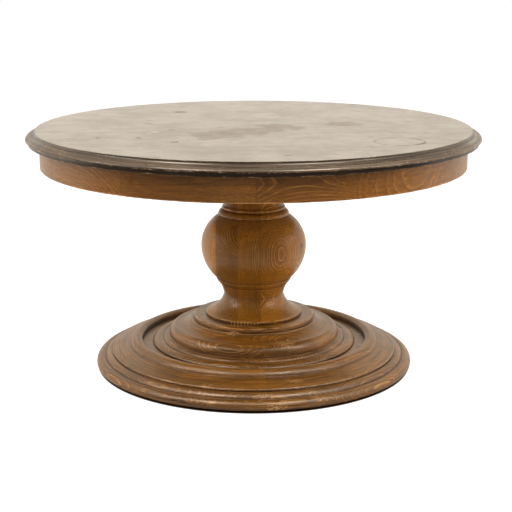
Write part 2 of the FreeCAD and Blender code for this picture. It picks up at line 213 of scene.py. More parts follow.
def grid_faces(rows, loop, pole):
    """The quads between neighbours, and what closes both ends: fans of triangles to two poles, or two flat faces.
    They come as the corners of all faces in order, the corner count of each, and as triangles for the volume."""
    number = np.arange(rows * loop).reshape(rows, loop)
    after = np.roll(number, -1, axis=1)
    quads = np.stack([number[:-1], after[:-1], after[1:], number[1:]], axis=-1).reshape(-1, 4)
    tips = [rows * loop, rows * loop + 1] if pole else [number[0, 0], number[-1, 0]]
    ends = np.stack([np.repeat(tips, loop), np.r_[after[0], number[-1]], np.r_[number[0], after[-1]]], axis=1)
    if pole:
        closing, counts = ends.ravel(), np.full(2 * loop, 3)
    else:
        closing, counts = np.r_[number[0][::-1], number[-1]], np.array([loop, loop])
    halves = np.vstack([quads[:, [0, 1, 2]], quads[:, [0, 2, 3]], ends])
    return np.r_[quads.ravel(), closing], np.r_[np.full(len(quads), 4), counts], halves


def bare_mesh(name, points, corners, counts):
    """A mesh from its points, the corners of all its faces in order, and the corner count of each face."""
    mesh = bpy.data.meshes.new(name)
    mesh.vertices.add(len(points))
    mesh.vertices.foreach_set("co", points.astype(np.float32).ravel())
    mesh.loops.add(len(corners))
    mesh.loops.foreach_set("vertex_index", corners.astype(np.int32))
    mesh.polygons.add(len(counts))
    mesh.polygons.foreach_set("loop_start", np.r_[0, np.cumsum(counts)[:-1]].astype(np.int32))
    mesh.update(calc_edges=True)
    return mesh


# %% The skin of one piece
def skin(name, node, places, pole=False, **marks):
    """A closed mesh on the grid places[row, loop], in mm, that carries the marks and stands for the CAD node."""
    rows, loop = places.shape[:2]
    points = places.reshape(-1, 3) * MM
    flat = {key: np.broadcast_to(value, (rows, loop) + np.shape(value)[2:]) for key, value in marks.items()}
    flat = {key: value.reshape((rows * loop,) + value.shape[2:]) for key, value in flat.items()}
    if pole:
        points = np.vstack([points, places[[0, -1]].mean(axis=1) * MM])
        flat = {key: np.concatenate([value, value[[0, -1]]]) for key, value in flat.items()}
    corners, counts, halves = grid_faces(rows, loop, pole)
    mesh = bare_mesh(name, points, corners, counts)
    if volume(points, halves) < 0:
        mesh.flip_normals()
    for key, value in flat.items():
        kind, field = ("FLOAT_VECTOR", "vector") if value.ndim == 2 else ("FLOAT", "value")
        mesh.attributes.new(key, kind, "POINT").data.foreach_set(field, value.astype(np.float32).ravel())
    mesh.shade_smooth()
    mesh.set_sharp_from_angle(angle=SHARP_FOLD)
    piece = bpy.data.objects.new(name, mesh)
    bpy.context.scene.collection.objects.link(piece)
    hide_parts(node)
    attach(piece, "root")
    made[node] = piece
    return piece


# %% [markdown]
# ## Where a board sat in its tree
#
# Grain is the tree's growth rings cut by the board's faces, so it is not drawn: each point is told how far
# it lies along the trunk and sideways from the pith, and the finish works out the rings from that. A board
# sawn far from the pith shows straight lines, one sawn across the rings shows long flames and ovals.

# %% Trunk marks and glue joints
WHORL = np.random.default_rng(23)
GROOVE_DEPTH, GROOVE_WIDTH, LINE_WIDTH = 0.12, 0.5, 0.7      # mm, of a glue joint that has opened a hair


def trunk(places, along, side, pith, lean=(0.0, 0.0)):
    """In metres: how far along the trunk, and the two distances from its pith, which drifts sideways by lean
    for every millimetre along."""
    along, side = np.array(along, float), np.array(side, float)
    third = np.cross(along, side)
    gap = places - np.array(pith, float)
    run = gap @ along
    return np.stack([run, gap @ side - lean[0] * run, gap @ third - lean[1] * run], axis=-1) * MM


def eased(count, low=0.0, high=1.0):
    """Shares from low to high that lie close together at both ends, as (1 - cos) / 2 does."""
    return low + (high - low) * (1 - np.cos(np.linspace(0, np.pi, count))) / 2


def joint_groove(gap):
    """How deep the joint is: a bell-shaped groove, by the distance from the joint in mm."""
    return GROOVE_DEPTH * np.exp(-(gap / GROOVE_WIDTH) ** 2)


def joint_mark(gap):
    """How much of a dark line the joint shows, by the distance from it in mm."""
    return np.exp(-(gap / LINE_WIDTH) ** 2)


# %% [markdown]
# ## The moulded top
#
# Five boards lie side by side and the round edge is moulded across all of them: a cove, a small step, a
# quarter round and a set-back fascia. The two outer boards are bows, so their moulding is carried along the
# arc and each section runs straight back to the glue line. The three inner boards have moulding only at their
# two ends, so there the loop goes over the top, down one end, back underneath and up the other.

# %% The edge profile
TOP_FACE, TOP_UNDER, BOARD_WIDTH = 493.0, 468.0, 182.8
# meets: dirt and painted shade at the moulding's steps and where the apron meets the top
top_edge = turned_profile(drawn_line(
    (415, 493), (438.5, 493), (438.5, 491.2), (447.5, 484.6, -0.2), (447.5, 483.4), (457, 477.2, 0.2),
    (457, 475.8), (452, 475.8), (452, 468), (425, 468)),
    meets=[(430.3, 468, 5), (438.9, 490.8, 1.4), (447.8, 483.3, 1.4), (452.5, 475.6, 1.8)], rub_width=0.7)
edge_r, edge_h, edge_out, edge_up, edge_arris, edge_crease = top_edge.T
print("top edge profile:", len(top_edge), "points")


def top_board(order, places, gap, middle, arris, crease):
    """The skin of one board. Its glue lines are fine grooves, except underneath. Its trunk lies along it, with the
    pith well below it and a little to one side of its middle line."""
    places[..., 2] -= np.where(places[..., 2] > TOP_UNDER + 1, joint_groove(gap), 0)
    pith = (WHORL.uniform(-900, 900), middle + WHORL.uniform(-50, 50), TOP_UNDER - WHORL.uniform(20, 90))
    lean = (WHORL.uniform(-0.03, 0.03), 0.02)
    return skin(f"top_board_{order}_waxed", f"top_board_{order}", places, seam=joint_mark(gap),
                grain=trunk(places, (1, 0, 0), (0, 1, 0), pith, lean),
                arris=arris[None], crease=crease[None], tone=np.full((1, 1), WHORL.random()))


# %% The five boards
ARC_ROWS, BOW_FLAT = 400, 30             # an outer board: sections along its arc, and points along each flat
END_ROWS, BOARD_FLAT = 92, 48            # an inner board: sections across it, and points along each flat
NEAR_TIP = 0.999                         # the glue line ends just short of the moulding's tips


def level_run(line, edge, share, height):
    """A flat that runs from the glue line to the moulding's edge, at one height."""
    flat = line + share * (edge - line)
    return np.concatenate([flat, np.full(flat.shape[:2] + (1,), height)], axis=-1)


def bow_board(order, side):
    """An outer board. Along the arc the angle runs from one meeting with the glue line to the other, which
    is acos(joint / radius) for each radius of the moulding. The top and underside run on to that line."""
    joint = 1.5 * BOARD_WIDTH
    angle = np.cos(np.linspace(np.pi, 0, ARC_ROWS))[:, None] * np.arccos(joint / edge_r)
    across, away = np.sin(angle), side * np.cos(angle)
    moulding = knocked(carried(edge_r, edge_h, across, away), carried(edge_out, edge_up, across, away),
                       edge_arris, wave=0.0)
    line = np.stack([NEAR_TIP * moulding[:, 0, 0], np.full(ARC_ROWS, side * joint)], axis=-1)[:, None]
    share = (1 - np.cos(np.linspace(0, np.pi / 2, BOW_FLAT + 1)[:-1]))[:, None]
    places = np.concatenate([level_run(line, moulding[:, :1, :2], share, TOP_FACE), moulding,
                             level_run(line, moulding[:, -1:, :2], share[::-1], TOP_UNDER)], axis=1)
    none = np.zeros(BOW_FLAT)
    return top_board(order, places, np.abs(places[..., 1]) - joint, side * 2 * BOARD_WIDTH,
                     np.r_[none, edge_arris, none], np.r_[none, edge_crease, none])


def inner_board(order):
    """An inner board between two glue lines: at each radius of the moulding, the angle runs from asin(first
    line / radius) to asin(second line / radius), and the flats are straight between the two ends."""
    first = (order - 3.5) * BOARD_WIDTH
    t = eased(END_ROWS)[:, None]
    angle = np.arcsin(first / edge_r) * (1 - t) + np.arcsin((first + BOARD_WIDTH) / edge_r) * t
    along, away = np.cos(angle), np.sin(angle)
    right, outward = carried(edge_r, edge_h, along, away), carried(edge_out, edge_up, along, away)
    left = right * (-1, 1, 1)
    right = knocked(right, outward, edge_arris, wave=0.0)
    left = knocked(left, outward * (-1, 1, 1), edge_arris, wave=0.0)[:, ::-1]
    share = np.linspace(0, 1, BOARD_FLAT + 2)[1:-1, None]
    top = left[:, -1:] * (1 - share) + right[:, :1] * share
    under = right[:, -1:] * (1 - share) + left[:, :1] * share
    places = np.concatenate([left, top, right, under], axis=1)
    gap = np.minimum(places[..., 1] - first, first + BOARD_WIDTH - places[..., 1])
    none = np.zeros(BOARD_FLAT)
    return top_board(order, places, gap, first + BOARD_WIDTH / 2,
                     np.r_[edge_arris[::-1], none, edge_arris, none],
                     np.r_[edge_crease[::-1], none, edge_crease, none])


top_boards = [bow_board(1, -1), inner_board(2), inner_board(3), inner_board(4), bow_board(5, 1)]
print("top boards:", [len(board.data.polygons) for board in top_boards])

# %% [markdown]
# ## Bent work: the apron hoop and the ring foot
#
# A hoop of this size is not bent: it is bricked up from short segments, each cut from a straight board, and
# turned round as one. So the grain runs along each segment's chord and leaves the curve slantwise towards its
# ends. All the segments share one function: a closed section carried along an arc of azimuths.

# %% One segment of a hoop
NICKED_ABOVE = 6         # mm above the floor: lower down, an arris is out of reach and stays whole


def bent_segment(node, section, first, last, rows, finish):
    """The section, a closed loop of (radius, height), is carried along the azimuths first to last, in degrees
    from the front towards the right: x = r sin, y = -r cos. Its ends ease in towards the joint."""
    r, h, out, up, arris, crease = section.T
    azimuth = np.radians(eased(rows, first, last))[:, None]
    from_end = np.minimum(eased(rows, 0, last - first), eased(rows, last - first, 0))
    gap = r * np.radians(from_end)[:, None]
    inward = joint_groove(gap)
    swing, face = np.sin(azimuth), -np.cos(azimuth)
    visible = np.where(h > NICKED_ABOVE, arris, 0)
    places = carried(r - inward * out, h - inward * up, swing, face)
    places = knocked(places, carried(out, up, swing, face), visible, wave=0.12)
    middle = math.radians((first + last) / 2)
    chord = (math.cos(middle), math.sin(middle), 0)
    towards = (math.sin(middle), -math.cos(middle), 0)
    away = np.array(towards) * (r.mean() + WHORL.uniform(-110, 110))
    pith = away + (WHORL.uniform(-500, 500), 0, h.mean() + WHORL.choice([-1, 1]) * WHORL.uniform(25, 80))
    lean = (WHORL.uniform(-0.08, 0.08), WHORL.choice([-1, 1]) * WHORL.uniform(0.05, 0.14))
    return skin(f"{node}_{finish}", node, places, grain=trunk(places, chord, towards, pith, lean),
                seam=joint_mark(gap), arris=visible[None], crease=crease[None], tone=np.full((1, 1), WHORL.random()))


# %% The apron hoop
APRON_JOINTS = (0.7, 25, 55, 86, 117, 147, 178, 208, 239, 269, 298, 327, 360.7)
APRON_ROWS = 56
# meets: dirt and painted shade where the apron meets the top
apron_section = turned_profile(drawn_line(
    (406.3, 418), (406.3, 468), (430.3, 468), (430.3, 419.6), (428.7, 418), (406.3, 418)), closed=True,
    meets=[(430.3, 468, 3.5)])
apron = [bent_segment(f"apron_segment_{n:02d}", apron_section, first, last, APRON_ROWS, "stained")
         for n, (first, last) in enumerate(zip(APRON_JOINTS[:-1], APRON_JOINTS[1:]), start=1)]
print("apron segments:", len(apron), "with", len(apron_section), "points round each")

# %% The two courses of the ring foot
RING_COUNT, RING_TURN, RING_ROWS = 10, 36, 64
UPPER_START, LOWER_START = 5, -8         # where the first joint of each course lies, in degrees
# meets: dirt and painted shade at the groove, between the courses and along the floor
ring_upper_section = turned_profile(drawn_line(
    (232.5, 31), (232.5, 53.6), (257.4, 46.2, 0.29), (259, 46.2), (259, 44.8), (291.6, 35.6),
    (295, 32.2, 0.2), (295, 31), (232.5, 31)), closed=True, meets=[(232.5, 45, 3), (295, 31, 1.4)])
ring_lower_section = turned_profile(drawn_line(
    (200, 31), (294, 31), (294, 29.8), (309.5, 20, 0.18), (327.2, 3, 0.34), (200, 3), (200, 31)), closed=True,
    meets=[(295, 31, 2), (325.5, 3, 3)])
courses = (("upper", ring_upper_section, UPPER_START), ("lower", ring_lower_section, LOWER_START))
ring = [bent_segment(f"ring_{course}_segment_{n + 1:02d}", section, start + RING_TURN * n,
                     start + RING_TURN * (n + 1), RING_ROWS, "turned")
        for course, section, start in courses for n in range(RING_COUNT)]
print("ring segments:", len(ring), "faces", sum(len(piece.data.polygons) for piece in ring))

# %% [markdown]
# ## The turned column
#
# The column is one turning from three thick boards glued side by side, with cheeks glued on where the ball
# and the foot are wider than the boards. On the lathe the joints become thin upright lines, and each board
# keeps its own figure. So a piece is the round turning clipped between two upright planes: at each height the
# loop goes along the front arc, over one plane, along the back arc and over the other.

# %% The column's outline
BALL = 108.2
# meets: dirt and painted shade under the foot's lip
column_line = turned_profile(drawn_line(
    (62, 416), (62, 387.45), (56, 357.5, -0.05), (62, 331.5, -0.06), (62, 323.5, 0.42), (66, 323.5),
    (73, 313, 0.2), (71.4, 313), (BALL, 249, upright(BALL - 71.4, 64)), (76.4, 180, upright(BALL - 76.4, 69)),
    (78.2, 180), (67.2, 167, 0.09), (69, 167), (61.8, 146, -0.05), (97.8, 109, -0.14), (99.2, 107.6), (99.2, 102)),
    meets=[(99.2, 103, 3.2)])
CHEEK_HEIGHTS = ((102, 146), (180, 313))
GLUE_LINES = (-76.5, -32.46, 14.5, 62.54)
END_SLACK, LEAST_CHEEK = 0.05, 0.02      # mm of height, and of thickness below which a cheek has no row
BARE = 0.15              # the least half width of a plane, so that no face has no area
FAR = 999.0              # mm: a plane so far out that it clips nothing, or a joint so far off that it marks nothing
print("column profile:", len(column_line), "points")


def in_cheek(height):
    """Whether the turning is wide enough there to need a cheek, with END_SLACK left off at both ends."""
    return sum((height > low + END_SLACK) & (height < high - END_SLACK) for low, high in CHEEK_HEIGHTS) > 0


def clipped_turning(node, rows, low, high, pith, lean, tone, arcs=56, flats=8):
    """The turning between the planes x = low and x = high, one value of each for every row of the outline.
    An arc is a run of azimuths from asin(low / radius) to asin(high / radius), at the front and at the back."""
    r, h, out, up, arris, crease = (column[:, None] for column in rows.T)
    low, high = low[:, None], high[:, None]
    reach = np.sqrt(r * r - BARE * BARE)
    start, stop = (np.arcsin(np.clip(limit, -reach, reach) / r) for limit in (low, high))
    front = start + (stop - start) * eased(arcs)
    gap = np.minimum(np.where(low > -r, r * (front - start), FAR), np.where(high < r, r * (stop - front), FAR))
    inward = joint_groove(gap)
    swing, face = np.sin(front), -np.cos(front)
    outward = carried(out, up, swing, face)
    places = carried(r - inward * out, h - inward * up, swing, face)
    places = knocked(places, outward, arris, nick=0.7, wave=0.15)
    rear = knocked(places * (1, -1, 1), outward * (1, -1, 1), arris, nick=0.7, wave=0.15)[:, ::-1]
    share = np.linspace(0, 1, flats + 2)[1:-1, None]
    right = places[:, -1:] * (1 - share) + rear[:, :1] * share
    left = rear[:, -1:] * (1 - share) + places[:, :1] * share
    grid = np.concatenate([places, right, rear, left], axis=1)
    none, across = np.zeros((len(rows), flats)), np.ones((1, arcs))

    def around(value):
        """A mark of the front arc, mirrored to the back arc, with nothing on the two planes."""
        return np.concatenate([value, none, value[:, ::-1], none], axis=1)

    return skin(f"{node}_turned", node, grid, grain=trunk(grid, (0, 0, 1), (1, 0, 0), pith, lean),
                seam=around(joint_mark(gap)), arris=around(arris * across), crease=around(crease * across),
                tone=np.full((1, 1), tone))


# %% Boards and cheeks of the column
heights = column_line[:, 1]
change = np.flatnonzero(np.diff(in_cheek(heights).astype(int)))
board_rows = np.insert(column_line, change + 1, column_line[change], axis=0)
board_cheek = in_cheek(np.insert(heights, change + 1, heights[change + 1]))
planes = [np.where(board_cheek, GLUE_LINES[0], -FAR), np.full(len(board_rows), GLUE_LINES[1]),
          np.full(len(board_rows), GLUE_LINES[2]), np.where(board_cheek, GLUE_LINES[3], FAR)]
boards = {"column_board_left": ((-60, 158, 300), (0.0, 0.75), 0.28),
          "column_board_middle": ((-190, -30, 249), (0.01, 0.0), 0.46),
          "column_board_right": ((86, -144, 253), (0.0, 0.0), 0.64)}
column = [clipped_turning(node, board_rows, planes[n], planes[n + 1], pith, lean, tone)
          for n, (node, (pith, lean, tone)) in enumerate(boards.items())]
cheeks = {"ball_cheek_left": (0, 1, (-95, 220, 250), 1.0), "ball_cheek_right": (3, 1, (86, -144, 253), 0.85),
          "foot_cheek_left": (0, 0, (-190, 60, 120), 0.55), "foot_cheek_right": (3, 0, (-20, 120, 120), 0.5)}
for node, (line, zone, pith, tone) in cheeks.items():
    low_h, high_h = CHEEK_HEIGHTS[zone]
    at_line = GLUE_LINES[line]
    thick = column_line[:, 0] > abs(at_line) + LEAST_CHEEK
    rows = column_line[(heights >= low_h) & (heights <= high_h) & thick]
    glue, open_side = np.full(len(rows), at_line), np.full(len(rows), math.copysign(FAR, at_line))
    low, high = (glue, open_side) if at_line > 0 else (open_side, glue)
    column.append(clipped_turning(node, rows, low, high, pith, (0.02, 0.0), tone, arcs=48, flats=6))
print("column pieces:", [(piece.name, len(piece.data.polygons)) for piece in column])

# %% [markdown]
# ## The stepped dome
#
# Under the column lie two turned discs that make a stepped dome, and the board that they stand on. Each is
# glued up from planks that run from left to right, so its figure is long at the front and shows end grain at
# both sides. A turned disc is its outline carried round the axis and closed at two poles.

# %% The three discs
def turned_disc(node, columns, line, meets):
    """The outline, from the axis out and back to it, at every azimuth: x = r sin, y = -r cos."""
    r, h, out, up, arris, crease = (column[:, None] for column in turned_profile(line, meets=meets).T)
    azimuth = np.linspace(0, 2 * np.pi, columns, endpoint=False)[None]
    swing, face = np.sin(azimuth), -np.cos(azimuth)
    places = knocked(carried(r, h, swing, face), carried(out, up, swing, face), arris, nick=0.7, wave=0.12)
    zero = np.zeros((len(r), 1))
    return skin(f"{node}_turned", node, places, pole=True, grain=places * MM, seam=zero, arris=arris, crease=crease,
                tone=zero + 0.5)


# meets: dirt and painted shade where each disc meets the next, the column and the ring's groove
discs = [
    turned_disc("dome_upper", 400, drawn_line(
        (1, 102), (122.2, 102), (124, 100.2), (124, 93), (131, 93), (131, 90.6), (164, 80.6, -0.1),
        (176.5, 59.5, 0.16), (1, 59.5)), meets=[(99.2, 102, 2.2), (176.5, 59.5, 1.2)]),
    turned_disc("dome_lower", 440, drawn_line(
        (1, 59.5), (176.5, 59.5), (179.5, 58, -0.06), (179.5, 57.2), (189.5, 52.2, 0.2), (187.9, 52.2),
        (211, 47.6, 0.2), (211, 45), (1, 45)), meets=[(176.5, 59.5, 1.4), (188.5, 52.2, 1.8), (211, 46, 3)]),
    turned_disc("base_board", 240, drawn_line((1, 45), (232.35, 45), (232.35, 31), (1, 31)),
                meets=[(211, 45, 1.6), (232.4, 45, 2)]),
]
print("discs:", [(piece.name, len(piece.data.polygons)) for piece in discs])

# %% [markdown]
# ## Small helpers for shader nodes
#
# A finish is a small network of nodes, and writing each link by hand hides the idea. So what a node puts out is
# wrapped as a value that can be added and multiplied like a number, and the lines below read as sums: a noise
# here, a mask there, one colour laid over another. Effects that several finishes share become node groups
# with named sockets.

# %% Values, and the nodes that give them
class Value:
    """What a node puts out: a number, vector or colour that changes over the surface. Sums of numbers are written
    as usual, and every + - * / places one Math node in the value's own node tree."""

    def __init__(self, socket):
        self.socket, self.tree = socket, socket.id_data

    def __add__(self, other):
        return calc("ADD", self, other)

    def __sub__(self, other):
        return calc("SUBTRACT", self, other)

    def __rsub__(self, other):
        return calc("SUBTRACT", other, self)

    def __mul__(self, other):
        return calc("MULTIPLY", self, other)

    def __truediv__(self, other):
        return calc("DIVIDE", self, other)


def feed(given, socket):
    """A value is linked to the socket, and a plain number or colour is set on it."""
    if isinstance(given, Value):
        given.tree.links.new(given.socket, socket)
    else:
        socket.default_value = given


def put(tree, kind, feeds=(), **choices):
    """One node with its choices set and its sockets fed."""
    node = tree.nodes.new("ShaderNode" + kind)
    for key, choice in choices.items():
        setattr(node, key, choice)
    for key, given in dict(feeds).items():
        feed(given, node.inputs[key])
    return node


def value(tree, kind, feeds=(), out=0, **choices):
    """A node that is placed for one of its outputs alone."""
    return Value(put(tree, kind, feeds, **choices).outputs[out])


def outputs(node):
    """All that a node puts out, by name."""
    return {socket.name: Value(socket) for socket in node.outputs if socket.name}


def calc(operation, *terms):
    """One sum of values and plain numbers, such as MAXIMUM or FRACT."""
    tree = next(term.tree for term in terms if isinstance(term, Value))
    return value(tree, "Math", dict(enumerate(terms)), operation=operation)


# %% Vectors, noise, masks and colours
def vector_calc(operation, vector, feeds=(), out="Vector"):
    """One sum of vectors, such as SUBTRACT, or one measure of them, such as LENGTH."""
    return value(vector.tree, "VectorMath", {0: vector, **dict(feeds)}, out, operation=operation)


def stretched(vector, *by):
    """A vector with each of its three parts multiplied."""
    return vector_calc("MULTIPLY", vector, {1: by})


def length(vector):
    """How long a vector is."""
    return vector_calc("LENGTH", vector, out="Value")


def parts(vector):
    """The three parts of a vector."""
    return [Value(socket) for socket in put(vector.tree, "SeparateXYZ", {0: vector}).outputs]


def cloud(vector, scale, detail=2.0):
    """Smooth noise from 0 to 1, its cells 1 / scale metres across."""
    return value(vector.tree, "TexNoise", {"Vector": vector, "Scale": scale, "Detail": detail})


def rising(number, low, high, start=0.0, end=1.0):
    """An S-curve from start to end as the number goes from low to high."""
    feeds = {"Value": number, "From Min": low, "From Max": high, "To Min": start, "To Max": end}
    return value(number.tree, "MapRange", feeds, interpolation_type="SMOOTHSTEP")


def over(mask, below, above):
    """One colour laid over another through a mask."""
    return value(mask.tree, "Mix", {0: mask, 6: below, 7: above}, out=2, data_type="RGBA")


def layered(colour, *layers):
    """Paints laid over a colour one after another, each given as its mask and its paint."""
    for mask, paint in layers:
        colour = over(mask, colour, paint)
    return colour


def scaled(colour, by):
    """A colour made brighter or darker."""
    return vector_calc("SCALE", colour, {"Scale": by})


def spots(place, centres, ragged):
    """A mask of soft-edged oval spots, each given in mm as centre (3) and half widths (3): the distance from the
    centre, with each part divided by its half width, is below 1 inside. A ragged value moves the rim."""
    mask = 0.0
    for x, y, z, a, b, c in centres:
        gap = vector_calc("SUBTRACT", place, {1: (x * MM, y * MM, z * MM)})
        away = length(stretched(gap, 1 / (a * MM), 1 / (b * MM), 1 / (c * MM)))
        mask = calc("MAXIMUM", mask, rising(away + ragged, 0.6, 1.0, 1.0, 0.0))
    return mask


def shade(red, green, blue):
    """A colour as it looks on screen, 0 to 255, turned into the scene's linear light."""
    s = np.array([red, green, blue]) / 255
    linear = np.where(s <= 0.04045, s / 12.92, ((s + 0.055) / 1.055) ** 2.4)
    return tuple(float(x) for x in linear) + (1.0,)


def darker(colour, *shares):
    """A plain colour with its red, green and blue multiplied."""
    return tuple(part * share for part, share in zip(colour, shares)) + (1.0,)


# %% Node groups
VECTORS = ("Place", "Trunk")             # sockets by these names carry vectors, and all others numbers


def new_group(name, takes, gives):
    """An empty node group with named sockets, and its inputs as values."""
    tree = bpy.data.node_groups.new(name, "ShaderNodeTree")
    for names, way in ((takes, "INPUT"), (gives, "OUTPUT")):
        for socket in names.split():
            kind = "NodeSocketVector" if socket in VECTORS else "NodeSocketFloat"
            tree.interface.new_socket(socket, in_out=way, socket_type=kind)
    return tree, outputs(tree.nodes.new("NodeGroupInput"))


def give(tree, **values):
    """The group's end, with its named outputs fed."""
    end = tree.nodes.new("NodeGroupOutput")
    for key, given in values.items():
        feed(given, end.inputs[key])
    print("group:", tree.name, len(tree.nodes), "nodes")


def use(tree, group, **feeds):
    """A group placed in a finish: what it puts out, by name."""
    node = put(tree, "Group", node_tree=group)
    for key, given in feeds.items():
        feed(given, node.inputs[key.title()])
    return outputs(node)


# %% [markdown]
# ## Growth rings
#
# Softwood has wide soft spring wood and a thin hard line of summer wood every year. Stain soaks into the soft
# wood and leaves the hard line pale, so the figure is thin light lines on brown. A ring is a distance from the
# pith, made to wander by noise that is stretched along the trunk. The saw-tooth of that distance, with a slow
# rise and a sharp fall, is one year: a pale crest, and the thin dark line that closes it.

# %% The ring group
wood_rings, given = new_group("wood_rings", "Trunk Year Wander", "Summer Dark Fibre Drift Height")
in_trunk = given["Trunk"]
drift = cloud(stretched(in_trunk, 2.2, 9, 9), 1.0)
from_pith = length(stretched(in_trunk, 0, 1, 1)) + (drift - 0.5) * given["Wander"]
ring_at = from_pith / given["Year"] + cloud(stretched(in_trunk, 5, 150, 150), 1.0) * 0.55
uneven = value(wood_rings, "TexNoise", {"W": ring_at * 0.43, "Scale": 1.0, "Detail": 1.0}, noise_dimensions="1D")
year = calc("FRACT", ring_at + uneven * 1.2)
patchy = rising(cloud(stretched(in_trunk, 7, 45, 45), 1.0), 0.3, 0.62, 0.35, 1.0)
summer = rising(year, 0.45, 0.72) * rising(year, 0.72, 0.84, 1.0, 0.0) * patchy
dark = rising(year, 0.72, 0.86) * rising(year, 0.88, 1.0, 1.0, 0.0) * patchy
coarse = cloud(stretched(in_trunk, 8, 380, 380), 1.0, 3.0)
hair = cloud(stretched(in_trunk, 30, 1500, 1500), 1.0)
fibre = coarse * 0.62 + hair * 0.38
give(wood_rings, Summer=summer, Dark=dark, Fibre=fibre, Drift=drift, Height=summer * 0.5 + fibre)

# %% [markdown]
# ## Planks in a turned disc
#
# The discs have no pieces of their own to carry marks, so their planks are worked out from the place: the
# plank's number is the whole part of y / width, and a random number for each moves its pith about. A plank is
# seldom cut quite along its trunk, so the rings drift across it from one end to the other.

# %% The plank group
PLANK_SLANT = 0.3        # how far the rings drift across a plank for every metre along it
FIRST_PLANK = 20.36      # moves the count, so that no plank has a negative number and no joint lies on the axis
glued_planks, given = new_group("glued_planks", "Place Width", "Trunk Tone Seam")
along, across, up = parts(given["Place"])
count = across / given["Width"] + FIRST_PLANK
within = calc("FRACT", count)
lot = value(glued_planks, "TexWhiteNoise", {"W": calc("FLOOR", count)}, "Color", noise_dimensions="1D")
chance = [Value(socket) for socket in put(glued_planks, "SeparateColor", {0: lot}).outputs]
sideways = (within - 0.5) * given["Width"] + ((chance[0] - 0.5) * 0.16 + along * PLANK_SLANT)
plank_trunk = value(glued_planks, "CombineXYZ", {
    0: along + chance[2] * 7.0, 1: sideways, 2: up + (chance[1] * 0.09 + 0.01)})
nearest = calc("MINIMUM", within, 1.0 - within) * given["Width"]
give(glued_planks, Trunk=plank_trunk, Tone=chance[0], Seam=rising(nearest, 0.0003, 0.0011, 1.0, 0.0))

# %% [markdown]
# ## Rubbed edges, dirt and painted shade, knocks and scratches
#
# The marks on the mesh say where an arris or a crease is, and noise breaks them up, so that an edge is rubbed
# pale in runs and not as a drawn line. Knocks are scattered dots, one in some of the cells of a random
# mosaic. Scratches are noise drawn out into thin strokes at two slants, kept only in a few places. The lathe
# and its sandpaper leave fine lines round the axis: noise of radius and height that hardly changes with the turn.

# %% Edges, and dirt with painted shade
rubbed_edges, given = new_group("rubbed_edges", "Place Arris Crease Seam Amount", "Rub Dirt")
runs = cloud(given["Place"], 42.0, 4.0)
broken = runs * 0.65 + cloud(given["Place"], 260.0) * 0.35
reached = given["Arris"] * given["Amount"] + (broken - 0.5) * 2.2
# the crease mark gives dirt and painted shade in hollows and where parts meet; the glue seam is real
held = given["Crease"] * rising(runs, 0.25, 0.6, 0.55, 1.0)
give(rubbed_edges, Rub=rising(reached, 0.25, 0.75) * rising(given["Arris"], 0.1, 0.5),
     Dirt=calc("MAXIMUM", held, given["Seam"]))

# %% Knocks and scratches
knocks, given = new_group("knocks", "Place Share Radius", "Mark Pit")
cells = outputs(put(knocks, "TexVoronoi", {"Vector": given["Place"], "Scale": 1.0}))
kept = calc("LESS_THAN", value(knocks, "SeparateColor", {0: cells["Color"]}), given["Share"])
dent = kept * rising(cells["Distance"] / given["Radius"], 0.35, 1.0, 1.0, 0.0)
give(knocks, Mark=dent, Pit=dent * -1.0)

scratches, given = new_group("scratches", "Place Where", "Mark")
strokes = []
for slant in (0.35, -0.6):
    turned = value(scratches, "Mapping", {"Vector": given["Place"], "Rotation": (0, slant, 0.4 * slant)})
    strokes.append(rising(cloud(stretched(turned, 30, 520, 520), 1.0, 1.0), 0.56, 0.64))
give(scratches, Mark=calc("MAXIMUM", *strokes) * rising(given["Where"], 0.56, 0.68))

# %% Lathe lines and wax
ROUND_RATE, LINE_RATE = 2.6, 260.0       # how fast the lathe's noise changes round the axis, and per metre across
lathe_lines, given = new_group("lathe_lines", "Place", "Line")
outwards = stretched(given["Place"], 1, 1, 0)
heading = parts(vector_calc("NORMALIZE", outwards))
circle = value(lathe_lines, "CombineXYZ", {
    0: heading[0] * ROUND_RATE, 1: heading[1] * ROUND_RATE, 2: length(outwards) * LINE_RATE})
level = parts(given["Place"])[2] * LINE_RATE
give(lathe_lines, Line=value(
    lathe_lines, "TexNoise", {"Vector": circle, "W": level, "Scale": 1.0, "Detail": 3.0}, noise_dimensions="4D"))

wax_film, given = new_group("wax_film", "Place Roughness Spread", "Roughness Height")
grit = cloud(given["Place"], 700.0)
film = cloud(stretched(given["Place"], 0.55, 1, 1), 34.0, 3.0) * 0.7 + grit * 0.3
give(wax_film, Roughness=given["Roughness"] + (film - 0.5) * given["Spread"], Height=grit * 0.12)

# %% [markdown]
# ## The stained and waxed pedestal wood
#
# Apron, column, dome and ring are the same brown stained softwood under wax, each batch a little different.
# One function lays the colour up much as the finisher does: stain, pale summer lines, fibre, board tone, dirt
# and painted shade in the creases and where parts meet, dents and knots, scratches, and last the edges rubbed
# through. The wax gives a satin sheen that is a little uneven. Marks that the table has in one place only are
# soft ovals at that place.

# %% A new finish
def new_finish(name):
    """An empty finish: its node tree, its one shader, and the place on the object."""
    finish = bpy.data.materials.new(name)
    finish.use_nodes = True
    tree = finish.node_tree
    return finish, tree, tree.nodes["Principled BSDF"], value(tree, "TexCoord", out="Object")


def mark(tree, name, kind="Fac"):
    """A mark of the mesh, such as arris or tone."""
    return value(tree, "Attribute", out=kind, attribute_name=name)


def lay_on(shader, colour, roughness, height, strength, depth=0.0005):
    """The finish's colour, gloss and fine relief, fed to its shader."""
    relief = value(colour.tree, "Bump", {"Height": height, "Strength": strength, "Distance": depth})
    feed(colour, shader.inputs["Base Color"])
    feed(roughness, shader.inputs["Roughness"])
    feed(relief, shader.inputs["Normal"])


